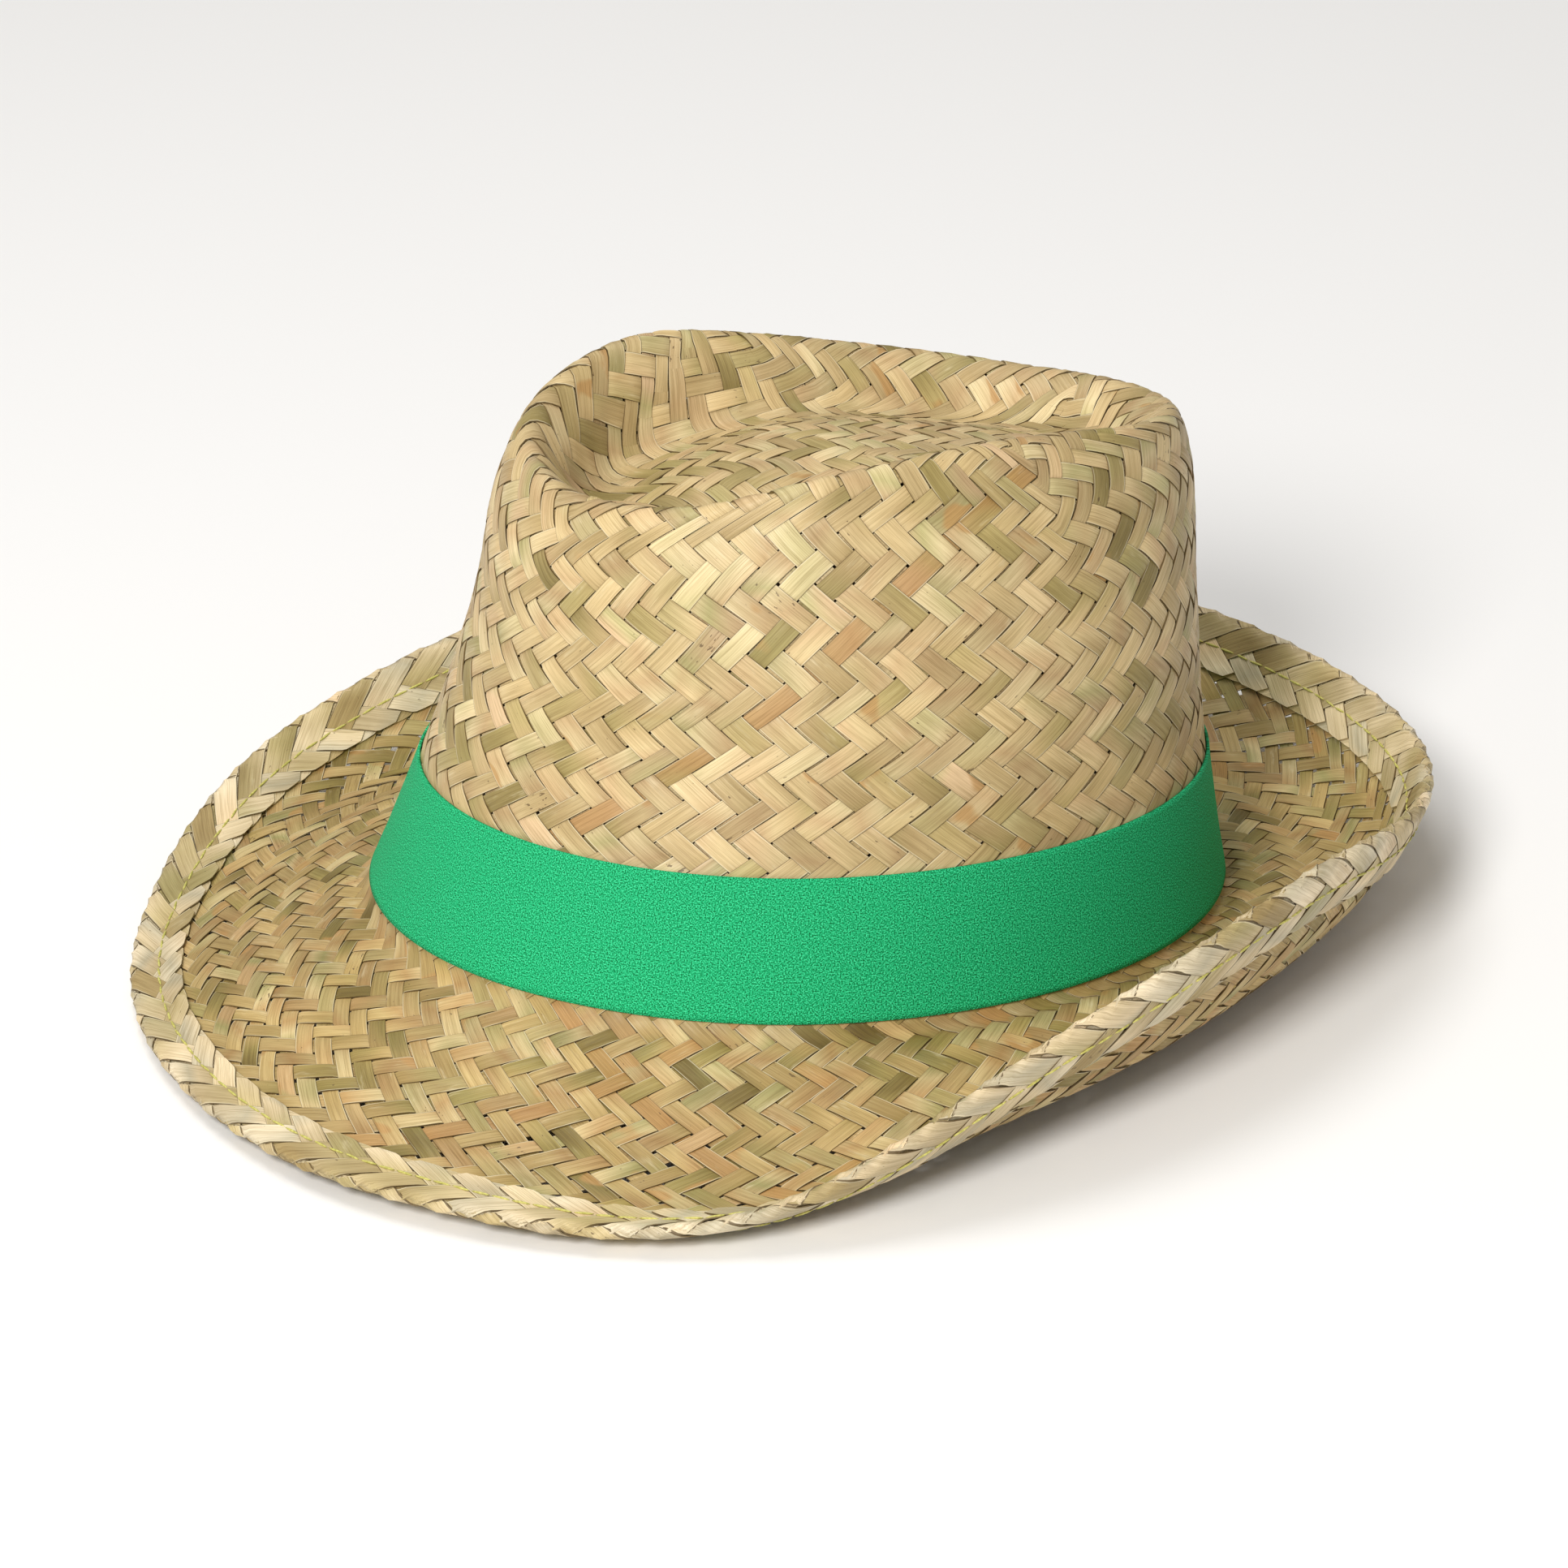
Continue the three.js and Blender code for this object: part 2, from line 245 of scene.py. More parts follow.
# The fold between wall and brim is a small round, laid over the sharp corner
wall_part, wall_length = evenly(crown_curve[:, :corner_sample + 1], skin_rows)
brim_part, brim_length = evenly(brim_curve, skin_rows)
round_half = 12
round_share = np.linspace(0, 1, 2 * round_half + 1)[None, :, None]


def cut_back(part, length):
    """The points of a part at the round's reach from the fold."""
    rows = fold_radius / length * skin_rows
    low = np.floor(rows).astype(int)
    picked = part[np.arange(skin_turns), low]
    return picked + (part[np.arange(skin_turns), low + 1] - picked) * (rows - low)[:, None]


wall_foot = cut_back(wall_part, wall_length)[:, None]
brim_root = cut_back(brim_part, brim_length)[:, None]
round_curve = (
    wall_foot * (1 - round_share) ** 2
    + fold_line[:, None] * 2 * round_share * (1 - round_share)
    + brim_root * round_share**2
)
wall_start = int(np.ceil((fold_radius / wall_length * skin_rows).max())) + 1
brim_start = int(np.ceil((fold_radius / brim_length * skin_rows).max())) + 1
wall_part, wall_length = evenly(
    np.concatenate((round_curve[:, round_half::-1], wall_part[:, wall_start:]), 1), skin_rows)
brim_part, brim_length = evenly(
    np.concatenate((round_curve[:, round_half:], brim_part[:, brim_start:]), 1), skin_rows)
top_part, top_length = evenly(crown_curve[:, corner_sample:], skin_rows)

# Rows of the whole skin: place 0 is the brim's edge, 1 the fold, 2 the corners of the
# crown, 3 the middle of the dent
skin = np.concatenate((brim_part[:, ::-1], wall_part[:, 1:], top_part[:, 1:]), 1)
rest_turn = np.array(floor_up.rotation_difference(Vector((0, 0, 1))).to_matrix())
skin = skin @ rest_turn.T + np.array(hat_place)
along_rows = np.gradient(skin, axis=1)
round_rows = np.roll(skin, -1, 0) - np.roll(skin, 1, 0)
skin_normal = np.cross(round_rows, along_rows)
# All rows meet in the middle of the dent, which takes the direction of a ring beside it
ring_beside = -6
skin_normal[:, -1] = skin_normal[:, ring_beside].mean(0)
skin_normal /= np.linalg.norm(skin_normal, axis=2, keepdims=True)


def on_skin(grid, angle, place):
    """Values of a skin grid at any angle round the hat and any place from edge to middle."""
    turn = (angle / (2 * np.pi)) % 1.0 * skin_turns
    turn_low = np.floor(turn).astype(int) % skin_turns
    turn_share = (turn - np.floor(turn))[..., None]
    row = np.clip(place, 0, 3) * skin_rows
    row_low = np.minimum(np.floor(row).astype(int), 3 * skin_rows - 1)
    row_share = (row - row_low)[..., None]
    turn_high = (turn_low + 1) % skin_turns
    low = grid[turn_low, row_low] * (1 - turn_share) + grid[turn_high, row_low] * turn_share
    high = grid[turn_low, row_low + 1] * (1 - turn_share)
    high = high + grid[turn_high, row_low + 1] * turn_share
    return low * (1 - row_share) + high * row_share


def even_angles(place, share):
    """Angles that divide the ring at a place into equal lengths, from the front."""
    ring = on_skin(skin, turn_angles, place + 0 * turn_angles)
    steps = np.linalg.norm(np.roll(ring, -1, 0) - ring, axis=1)
    run = np.concatenate(((0.0,), np.cumsum(steps))) / steps.sum()
    full = np.concatenate((turn_angles, (2 * np.pi,)))
    return np.interp(share % 1.0, run, full) + 2 * np.pi * np.floor(share)


# The plaited strips. Each is a flat split grass leaf about 5 mm wide and a third of a
# millimetre thick, that runs over two strips and under the next two. It is a closed ribbon
# with six points round it, and its edges stay sharp.
strip_thickness = 0.28 * mm
strip_rise = 0.28 * mm
strip_camber = 0.06 * mm
strip_roll = 0.12 * mm
strip_corner = math.radians(50)
# Sections after which a strip's breadth, sway and roll are drawn anew
breadth_every = 7
sway_every = 8
roll_every = 9
# Plain strips have a random number from 0 to this one, and 1 makes a strip red brown
plain_tint = 0.97
rng = np.random.default_rng(7)


def heights(states, steps):
    """How far a strip stands off the middle of the wall, for each section of each strip.
    states is +1 over and -1 under, at each crossing, with steps sections to a crossing."""
    count = states.shape[1]
    fine = np.arange((count - 1) * steps + 1) / steps
    low = np.minimum(np.floor(fine).astype(int), count - 2)
    share = fine - low
    # Eased twice, so the strip stays flat on its float and dives fast between two
    for _ in range(2):
        share = share * share * (3 - 2 * share)
    return (states[:, low] * (1 - share) + states[:, low + 1] * share) * strip_rise


def slow_noise(strips, sections, every):
    """A random value from -1 to 1 for each section of each strip. It is drawn anew every
    few sections and eased between them."""
    knots = rng.uniform(-1, 1, (strips, sections // every + 3))
    at = np.arange(sections) / every + rng.random((strips, 1))
    low = np.floor(at).astype(int)
    share = at - low
    share = share * share * (3 - 2 * share)
    row = np.arange(strips)[:, None]
    return knots[row, low] * (1 - share) + knots[row, low + 1] * share


def ribbons(points, normal, rise, fill, tint, run_start=0.0, run_sign=1.0):
    """Closed ribbons from section points shaped (strip, section, xyz): the middle of the
    ribbon and of the gaps beside it. fill is the share of the room that the ribbon takes,
    and it wanders in the rest."""
    overlap = 0.01
    wander = slow_noise(*rise.shape, sway_every) * ((1 - fill) / 2 + overlap)
    sway = (points[2] - points[1]) * wander[..., None]
    centre, left, right = (row + sway for row in points)
    ahead = np.gradient(centre, axis=1)
    ahead /= np.linalg.norm(ahead, axis=2, keepdims=True)
    room = np.linalg.norm(np.cross(right - left, ahead), axis=2)
    left = centre + (left - centre) * fill[..., None]
    right = centre + (right - centre) * fill[..., None]
    lift = rise[..., None]
    roll = slow_noise(*rise.shape, roll_every)[..., None] * strip_roll
    half = strip_thickness / 2
    rings = np.stack((
        left + normal * (lift + half - roll),
        centre + normal * (lift + half + strip_camber),
        right + normal * (lift + half + roll),
        right + normal * (lift - half + roll),
        centre + normal * (lift - half + strip_camber),
        left + normal * (lift - half - roll),
    ), 2)
    strips, sections, ring = rings.shape[:3]
    run = np.cumsum(np.linalg.norm(np.diff(centre, axis=1, prepend=centre[:, :1]), axis=2), 1)
    run = run_start + run_sign * run
    side = np.array((-1.0, 0.0, 1.0, 1.0, 0.0, -1.0))
    across = (room * fill / 2)[..., None] * side
    along = np.repeat(run[..., None], ring, 2)
    edge = np.abs(side) + 0 * across
    index = np.arange(strips * sections * ring).reshape(strips, sections, ring)
    turned = np.roll(index, -1, 2)
    quads = np.stack((index[:, :-1], index[:, 1:], turned[:, 1:], turned[:, :-1]), -1)
    quads = quads.reshape(-1, 4)
    first, last = index[:, 0], index[:, -1, ::-1]
    caps = np.concatenate((
        first[:, [0, 1, 4, 5]], first[:, [1, 2, 3, 4]],
        last[:, [0, 1, 4, 5]], last[:, [1, 2, 3, 4]]))
    faces = np.concatenate((quads, caps))
    corners = rings.reshape(-1, 3)[faces] - rings.reshape(-1, 3).mean(0)
    volume = (corners[:, 0] * np.cross(corners[:, 1], corners[:, 2])).sum()
    volume += (corners[:, 0] * np.cross(corners[:, 2], corners[:, 3])).sum()
    if volume < 0:
        faces = faces[:, ::-1]
    number = np.broadcast_to(np.reshape(tint, (-1, 1, 1)), across.shape)
    return rings, faces, along, across, number, edge


def plait_object(name, sets, material):
    """One mesh from several sets of ribbons, with a UV map along and across each strip, a
    random number for each strip and how near each point is to the strip's edge."""
    points, faces, maps, numbers, edges = [], [], [], [], []
    shift = 0
    for rings, set_faces, along, across, number, edge in sets:
        points.append(rings.reshape(-1, 3))
        faces.append(set_faces + shift)
        maps.append(np.stack((along.ravel(), across.ravel()), -1))
        numbers.append(number.ravel())
        edges.append(edge.ravel())
        shift += len(points[-1])
    mesh = bpy.data.meshes.new(name)
    mesh.from_pydata(np.concatenate(points).tolist(), [], np.concatenate(faces).tolist())
    corners = np.empty(len(mesh.loops), int)
    mesh.loops.foreach_get("vertex_index", corners)
    layer = mesh.uv_layers.new(name="strip_map")
    layer.uv.foreach_set("vector", np.concatenate(maps)[corners].astype(np.float32).ravel())
    for attribute, values in (("strip", numbers), ("edge", edges)):
        stored = mesh.attributes.new(attribute, "FLOAT", "POINT")
        stored.data.foreach_set("value", np.concatenate(values).astype(np.float32))
    mesh.shade_smooth()
    mesh.set_sharp_from_angle(angle=strip_corner)
    mesh.materials.append(material)
    piece = bpy.data.objects.new(name, mesh)
    bpy.context.scene.collection.objects.link(piece)
    return piece


# The straw. A split seagrass leaf is pale and satiny with fine fibres along it, worn edges
# and patches of olive, grey green, tan and a little red brown. The shade in the crevices
# between strips is painted into its colour.
def node_maker(tree):
    """A function that adds a node to a tree with some of its settings."""
    def make(kind, **settings):
        node = tree.nodes.new(kind)
        for key, value in settings.items():
            if hasattr(node, key):
                setattr(node, key, value)
        return node
    return make


def ramp_stops(node, stops):
    """Gives a colour ramp its stops, each a place and a colour."""
    elements = node.color_ramp.elements
    while len(elements) > 1:
        elements.remove(elements[-1])
    for at, (place, colour) in enumerate(stops):
        element = elements[0] if at == 0 else elements.new(place)
        element.position = place
        element.color = (*colour, 1.0)


def linear(red, green, blue):
    """A colour read off a swatch, 0 to 255, as the shader wants it."""
    values = (channel / 255 for channel in (red, green, blue))
    return tuple(v / 12.92 if v <= 0.04045 else ((v + 0.055) / 1.055) ** 2.4 for v in values)


def straw_material(name, stops, rust_from):
    """Split leaf, coloured by a random number for each strip and by noise along it. stops
    are the leaf's tones, and rust_from is how rare the red brown patches are."""
    material = bpy.data.materials.new(name)
    material.use_nodes = True
    tree = material.node_tree
    make = node_maker(tree)
    link = tree.links.new
    shader = tree.nodes["Principled BSDF"]
    uv = make("ShaderNodeUVMap", uv_map="strip_map")
    number = make("ShaderNodeAttribute", attribute_name="strip")
    border = make("ShaderNodeAttribute", attribute_name="edge")
    split = make("ShaderNodeSeparateXYZ")
    link(uv.outputs["UV"], split.inputs[0])

    def field(along_scale, across_scale, number_scale, detail, rough=0.5):
        """Noise stretched along the strip, different on every strip."""
        join = make("ShaderNodeCombineXYZ")
        parts = (split.outputs["X"], split.outputs["Y"], number.outputs["Fac"])
        for axis, (part, scale) in enumerate(zip(parts, (along_scale, across_scale, number_scale))):
            scaled = make("ShaderNodeMath", operation="MULTIPLY")
            scaled.inputs[1].default_value = scale
            link(part, scaled.inputs[0])
            link(scaled.outputs[0], join.inputs[axis])
        noise = make("ShaderNodeTexNoise")
        noise.inputs["Scale"].default_value = 1.0
        noise.inputs["Detail"].default_value = detail
        noise.inputs["Roughness"].default_value = rough
        link(join.outputs[0], noise.inputs["Vector"])
        return noise.outputs["Fac"]

    def mix(blend, factor, first, second):
        """Two colours mixed, each a colour or a socket."""
        node = make("ShaderNodeMix", data_type="RGBA", blend_type=blend)
        if isinstance(factor, float):
            node.inputs[0].default_value = factor
        else:
            link(factor, node.inputs[0])
        for socket, value in ((6, first), (7, second)):
            if isinstance(value, tuple):
                node.inputs[socket].default_value = (*value, 1.0)
            else:
                link(value, node.inputs[socket])
        return node.outputs[2]

    def ease(value, low, high, start=0.0, end=1.0):
        """A value that goes smoothly from start to end between two limits."""
        node = make("ShaderNodeMapRange", interpolation_type="SMOOTHSTEP")
        for socket, limit in zip((1, 2, 3, 4), (low, high, start, end)):
            node.inputs[socket].default_value = limit
        link(value, node.inputs[0])
        return node.outputs[0]

    # The leaf's own tone, then light and dark along it
    tone = make("ShaderNodeValToRGB")
    ramp_stops(tone, stops)
    spread = make("ShaderNodeMapRange")
    spread.inputs[1].default_value = 0.3
    spread.inputs[2].default_value = 0.7
    link(field(22.0, 25.0, 91.0, 1.0), spread.inputs[0])
    link(spread.outputs[0], tone.inputs[0])
    colour = tone.outputs[0]
    shade = ease(field(26.0, 40.0, 143.0, 1.0), 0.3, 0.7)
    colour = mix("MULTIPLY", 1.0, colour, mix("MIX", shade, (0.7, 0.68, 0.63), (1.1, 1.1, 1.11)))
    # Red brown, grey green and bleached patches, and the few strips that are red brown
    rust = ease(field(48.0, 70.0, 57.0, 2.0), rust_from, rust_from + 0.04, 0.0, 0.75)
    colour = mix("MIX", rust, colour, linear(180, 138, 82))
    reddened = ease(number.outputs["Fac"], 0.98, 0.99, 0.0, 0.6)
    colour = mix("MIX", reddened, colour, linear(170, 124, 68))
    moss = ease(field(26.0, 40.0, 211.0, 1.0), 0.58, 0.7, 0.0, 0.45)
    colour = mix("MIX", moss, colour, linear(160, 154, 98))
    bleach = ease(field(90.0, 420.0, 31.0, 3.0, 0.65), 0.6, 0.78, 0.0, 0.35)
    colour = mix("MIX", bleach, colour, linear(228, 216, 180))
    # Fibres, coarse and fine, and dark specks that come in clusters
    coarse = field(42.0, 1500.0, 23.0, 3.0, 0.65)
    fine = field(80.0, 4800.0, 11.0, 3.0, 0.65)
    colour = mix("MULTIPLY", 1.0, colour, mix(
        "MIX", ease(coarse, 0.3, 0.6), (0.87, 0.85, 0.8), (1.04, 1.04, 1.04)))
    colour = mix("MULTIPLY", 1.0, colour, mix(
        "MIX", ease(fine, 0.28, 0.6), (0.74, 0.7, 0.62), (1.06, 1.06, 1.06)))
    cluster = make("ShaderNodeMath", operation="MULTIPLY_ADD")
    cluster.inputs[1].default_value = 0.11
    link(ease(field(20.0, 30.0, 97.0, 1.0), 0.66, 0.7), cluster.inputs[0])
    link(field(600.0, 1300.0, 67.0, 2.0), cluster.inputs[2])
    speck = ease(cluster.outputs[0], 0.73, 0.78, 0.0, 0.75)
    colour = mix("MIX", speck, colour, linear(84, 62, 36))
    # Along the edge the pale inside of the leaf shows. The strip's side faces are painted dark:
    # painted shade for the crevices between the strips.
    rim = ease(border.outputs["Fac"], 0.85, 0.95, 0.0, 0.6)
    worn = mix("MIX", ease(field(60.0, 90.0, 83.0, 1.0), 0.45, 0.6), colour, linear(232, 220, 184))
    colour = mix("MIX", rim, colour, worn)
    # Painted shade: every side face of a strip is darkened as if in shadow between strips
    crevice_shade = ease(border.outputs["Fac"], 0.955, 0.985, 0.0, 0.88)
    colour = mix("MIX", crevice_shade, colour, linear(92, 72, 38))
    link(colour, shader.inputs["Base Color"])
    link(ease(coarse, 0.3, 0.7, 0.62, 0.42), shader.inputs["Roughness"])
    shader.inputs["Specular IOR Level"].default_value = 0.4
    relief = make("ShaderNodeMath", operation="MULTIPLY_ADD")
    relief.inputs[1].default_value = 0.6
    link(fine, relief.inputs[0])
    link(coarse, relief.inputs[2])
    bump = make("ShaderNodeBump")
    bump.inputs["Strength"].default_value = 0.6
    bump.inputs["Distance"].default_value = 0.1 * mm
    link(relief.outputs[0], bump.inputs["Height"])
    link(bump.outputs["Normal"], shader.inputs["Normal"])
    return material


crown_straw = straw_material("crown_straw", (
    (0.0, linear(154, 138, 84)),
    (0.16, linear(177, 160, 106)),
    (0.34, linear(198, 174, 126)),
    (0.48, linear(210, 188, 141)),
    (0.6, linear(202, 174, 130)),
    (0.76, linear(218, 200, 155)),
    (0.88, linear(190, 180, 128)),
    (1.0, linear(212, 184, 144)),
), 0.66)

# The crown. Sixty-two strips are plaited into a flat mat whose strips run along and across
# the hat. It is turned down at four corners and plaited on round the wall, without a join.
mat_long = 16
mat_wide = 15
mat_turn = math.radians(149)
mat_reach = 0.7
mat_shortening = 0.15
mat_short_side = math.radians(10)
perimeter = 4 * (mat_long + mat_wide)
crown_steps = 3
wall_end = 1.025
wall_rows = 42
wall_ring = 1.4
level_from = 2.2
level_rows = 24
top_unit = top_length.mean()
wall_unit = wall_length.mean()
wall_row_height = ((level_from - 2) * top_unit + (2 - wall_end) * wall_unit) / wall_rows


def mat_place(x, y):
    """Angle and place of a point of the mat. Its corners come near the crown's upper edge,
    less so in front and behind."""
    u = mat_reach * x / mat_long
    v = mat_reach * y / mat_wide
    angle = np.arctan2(v, u) + mat_turn
    shorter = 1 - mat_shortening * np.cos(angle - mat_short_side) ** 2
    return angle, 3 - np.hypot(u, v) * shorter


def wall_place(row, along):
    """Angle and place of a point of the wall: rows below the mat's border, and the way
    round it from the middle of one side of the mat. The rows soon run level."""
    way = along % perimeter
    corner_ways = np.array((0, mat_wide, mat_wide + 2 * mat_long, 3 * mat_wide + 2 * mat_long,
                            3 * mat_wide + 4 * mat_long, perimeter))
    x = np.interp(way, corner_ways, (1, 1, -1, -1, 1, 1))
    y = np.interp(way, corner_ways, (0, 1, 1, -1, -1, 0))
    turn, begin = mat_place(x * mat_long, y * mat_wide)
    even = even_angles(wall_ring, way / perimeter + mat_share)
    apart = (even - turn + np.pi) % (2 * np.pi) - np.pi
    share = np.clip(row / level_rows, 0, 1)
    share = share * (2 - share)
    inside = begin + share * (level_from - begin) - 2
    fall = row * wall_row_height - inside * top_unit
    return turn + share * apart, 2 - fall / np.where(fall < 0, top_unit, wall_unit)


def crown_place(x, y, side):
    """Angle and place of a point of the plait. side says which side of the mat a strip
    leaves by: 0 for x, 1 for y, 2 for -x, 3 for -y."""
    over_x = np.abs(x) - mat_long
    over_y = np.abs(y) - mat_wide
    by_x = (over_x > 0) & ((over_y <= 0) | (side % 2 == 0))
    by_y = (over_y > 0) & ~by_x
    way = np.select(
        (by_x & (x > 0), by_y & (y > 0), by_x, by_y),
        (y, mat_wide + mat_long - x, 2 * mat_wide + 2 * mat_long - y,
         3 * mat_wide + 3 * mat_long + x), 0.0)
    row = np.where(by_x, over_x, over_y)
    angle, place = mat_place(np.clip(x, -mat_long, mat_long), np.clip(y, -mat_wide, mat_wide))
    wall_angle, wall_at = wall_place(np.maximum(row, 0), way)
    outside = by_x | by_y
    return np.where(outside, wall_angle, angle), np.where(outside, wall_at, place)


def cross_points(x, y, step, side):
    """The middle of a strip and of the gaps beside it, and the way out of the hat. step is
    the strip's direction."""
    sets = []
    for across in (0.0, -0.5, 0.5):
        angle, place = crown_place(x - across * step[1], y + across * step[0], side)
        sets.append(on_skin(skin, angle, place))
        if across == 0.0:
            normal = on_skin(skin_normal, angle, place)
    return sets, normal / np.linalg.norm(normal, axis=-1, keepdims=True)


# The share of the way round the wall at which the mat's first side has its middle
share_steps = np.linspace(0, 1, 1441)
mat_share = np.interp(mat_turn, even_angles(wall_ring, share_steps[:-1]), share_steps[:-1])
# One strip turns red brown on its way down the wall: its slope, number and end
red_strip = (-1, 4, -1)
wall_unevenness = 0.018
top_ribbons = []
wall_ribbons = []
for slope in (1, -1):
    for number in range(-(mat_long + mat_wide) + 1, mat_long + mat_wide, 2):
        low = max(-mat_long, number - mat_wide)
        high = min(mat_long, number + mat_wide)
        crossings = np.arange(low, high + 1)
        rows = slope * (crossings - number)
        state = np.where((rows + 2) // 2 % 2 == 0, 1.0, -1.0) * slope
        for end in (0, -1):
            state[end] = slope if abs(rows[end]) == mat_wide else -slope
        tint = rng.uniform(0, plain_tint)
        breadth = rng.uniform(0.92, 0.98)
        x = np.arange(low, high + 0.01, 1 / crown_steps)[None]
        y = slope * (x - number)
        points, normal = cross_points(x, y, (1, slope), np.zeros(x.shape, int))
        length = np.linalg.norm(np.diff(points[0][0], axis=0), axis=1).sum()
        rise = heights(state[None], crown_steps)
        fill = np.full(rise.shape, breadth)
        top_ribbons.append(ribbons(points, normal, rise, fill, tint))
        for end, way in ((0, -1), (-1, 1)):
            start_x, start_y = crossings[end], rows[end]
            if abs(start_x) == mat_long:
                side = 0 if start_x > 0 else 2
            else:
                side = 1 if start_y > 0 else 3
            down = np.arange(wall_rows + 1)
            clockwise = (slope > 0) == (side % 2 == 1)
            wall_state = np.where(down // 2 % 2 == 0, 1.0, -1.0) * (1 if clockwise else -1)
            run = np.arange(wall_rows * crown_steps + 1)[None] / crown_steps
            points, normal = cross_points(
                start_x + way * run, start_y + way * slope * run, (way, way * slope),
                np.full(run.shape, side))
            rise = heights(wall_state[None], crown_steps)
            fill = breadth + wall_unevenness * (slow_noise(*rise.shape, breadth_every) - 1)
            wall_tint = 1.0 if (slope, number, end) == red_strip else tint
            wall_ribbons.append(ribbons(
                points, normal, rise, fill, wall_tint, 0.0 if end == 0 else length, way))
for name, made in (("crown_top_plait", top_ribbons), ("crown_wall_plait", wall_ribbons)):
    crown_plait = plait_object(name, made, crown_straw)
    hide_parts("woven_body")
    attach(crown_plait, "root")

# The brim. More strips are let in behind the ribbon, so the brim has a hundred and one in
# each set. They crowd beside the crown, and further out small holes open between them.
brim_count = 101
brim_steps = 3
brim_row_height = 2.65 * mm
brim_start_place = 1.06
brim_end_place = 0.012
brim_ring = 0.6
brim_proud = 0.45 * mm
proud_span = 0.03
brim_unevenness = 0.045
tight_fill = 0.95
tight_place = 0.75
loose_place = 0.45
red_brim_strips = 3
brim_rise = (brim_start_place - 1) * wall_length.mean()
brim_rows = int((brim_rise + (1 - brim_end_place) * brim_length.mean()) / brim_row_height)


def brim_place(row, along):
    """Angle and place of a point of the brim: rows from the top end behind the ribbon."""
    run = row * brim_row_height - brim_rise
    place = np.where(run < 0, 1 - run / wall_length.mean(), 1 - run / brim_length.mean())
    return even_angles(brim_ring, along / (2 * brim_count)), place


brim_ribbons = []
down = np.arange(brim_rows + 1)
run = np.arange(brim_rows * brim_steps + 1)[None] / brim_steps
for way in (-1, 1):
    state = np.where(down // 2 % 2 == 0, 1.0, -1.0) * -way
    start = (np.arange(brim_count) * 2 + 1)[:, None]
    points = []
    for across in (0.0, -0.5, 0.5):
        angle, place = brim_place(run - across * way + 0 * start, start + way * run + across)
        points.append(on_skin(skin, angle, place))
        if across == 0.0:
            normal = on_skin(skin_normal, angle, place)
            proud = np.clip((place - 1.0) / proud_span, 0, 1) * brim_proud
    normal /= np.linalg.norm(normal, axis=-1, keepdims=True)
    rise = heights(np.repeat(state[None], brim_count, 0), brim_steps) + proud
    fill = rng.uniform(0.75, 0.92, (brim_count, 1))
    fill = fill + brim_unevenness * slow_noise(*rise.shape, breadth_every)
    tight = np.clip((place - loose_place) / (tight_place - loose_place), 0, 1)
    fill = fill + (tight_fill - fill) * tight
    tint = rng.uniform(0, plain_tint, brim_count)
    tint[rng.integers(0, brim_count, red_brim_strips)] = 1.0
    brim_ribbons.append(ribbons(points, normal, rise, fill, tint))
# The brim's straw is the crown's straw made darker: the shade on the brim is painted into its
# colours
shaded_brim_straw = straw_material("shaded_brim_straw", (
    (0.0, linear(124, 106, 52)),
    (0.16, linear(150, 134, 74)),
    (0.34, linear(180, 154, 98)),
    (0.48, linear(194, 169, 114)),
    (0.6, linear(184, 150, 98)),
    (0.76, linear(206, 186, 136)),
    (0.88, linear(166, 158, 102)),
    (1.0, linear(192, 160, 112)),
), 0.645)
brim_plait = plait_object("brim_plait", brim_ribbons, shaded_brim_straw)
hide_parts("woven_body")
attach(brim_plait, "root")

# The binding. A flat braid of wider, paler strips is folded over the brim's edge, so that
# its two rows of slanting floats meet in a chevron at the line of stitches.
braid_cover = 14 * mm
braid_lift = 1.15 * mm
braid_edge = braid_lift + 0.3 * mm
braid_flat = braid_cover - braid_edge
braid_round = math.pi * braid_lift
braid_total = 2 * braid_flat + braid_round
stitch_in = 6.0 * mm
braid_row = 4.0 * mm
braid_count = 76
braid_steps = 5
braid_ring = 0.05
braid_tuck = 0.02
inner_step = 0.02
front_narrowing = 0.24
front_middle = math.radians(15)
front_spread = math.radians(38)


def braid_surface(angle, way):
    """Points and outward directions on the middle of the folded braid. way is the distance
    from its selvedge on top, round the edge, to its selvedge below. In front, where the
    brim is bent down, less of it lies on top."""
    length = np.interp(angle % (2 * np.pi), np.append(turn_angles, 2 * np.pi),
                       np.append(brim_length, brim_length[0]))
    bend = np.clip((way - braid_flat) / braid_lift, 0, math.pi)
    apart = (angle - front_middle + np.pi) % (2 * np.pi) - np.pi
    narrow = 1 - front_narrowing * np.exp(-(apart / front_spread) ** 2)
    inwards = np.maximum(braid_flat - way, 0) + np.maximum(way - braid_flat - braid_round, 0)
    inwards = braid_edge + inwards * narrow
    place = inwards / length
    middle = on_skin(skin, angle, place)
    normal = on_skin(skin_normal, angle, place)
    normal /= np.linalg.norm(normal, axis=-1, keepdims=True)
    edgeward = middle - on_skin(skin, angle, place + inner_step)
    edgeward /= np.linalg.norm(edgeward, axis=-1, keepdims=True)
    out = normal * np.cos(bend)[..., None] + edgeward * np.sin(bend)[..., None]
    return middle + out * braid_lift, out


